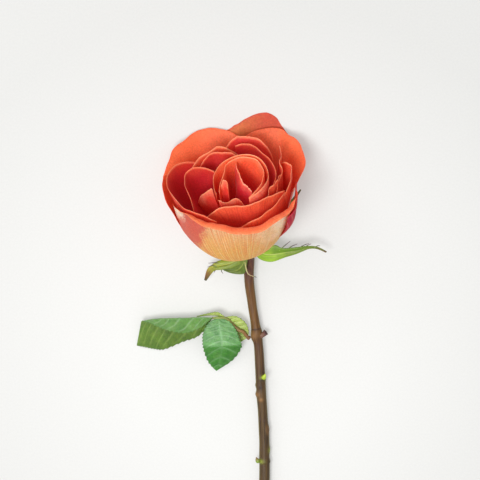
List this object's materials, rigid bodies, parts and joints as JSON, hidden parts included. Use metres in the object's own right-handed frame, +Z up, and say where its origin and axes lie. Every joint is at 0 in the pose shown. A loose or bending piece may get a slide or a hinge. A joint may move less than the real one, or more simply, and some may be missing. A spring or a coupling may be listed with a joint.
{
  "type": "cut rose",
  "caption": "Single cut rose with an open orange-red bloom, green sepals, a compound leaf and a long brown stem, lying as it rests on a table",
  "frame": {"origin": "centre of the bounding box's bottom face, on the surface the rose lies on", "axes": "+Z is up from the surface, +Y runs along the stem from the cut end to the bloom, +X is to the right of the rose as seen from above"},
  "size_m": [0.1052, 0.2534, 0.0756],
  "materials": {
    "petal_red": "velvety matt petal",
    "sepal_green": "soft satin leaf skin",
    "stem_brown": "young satin bark",
    "leaf_green": "satin leaf skin",
    "bud_green": "satin bud scales"
  },
  "bodies": {
    "root": {"bloom": "petal_red", "calyx": "sepal_green", "stem": "stem_brown", "leaf": "leaf_green", "bud_upper": "bud_green", "bud_lower": "bud_green"}
  },
  "joints": []
}
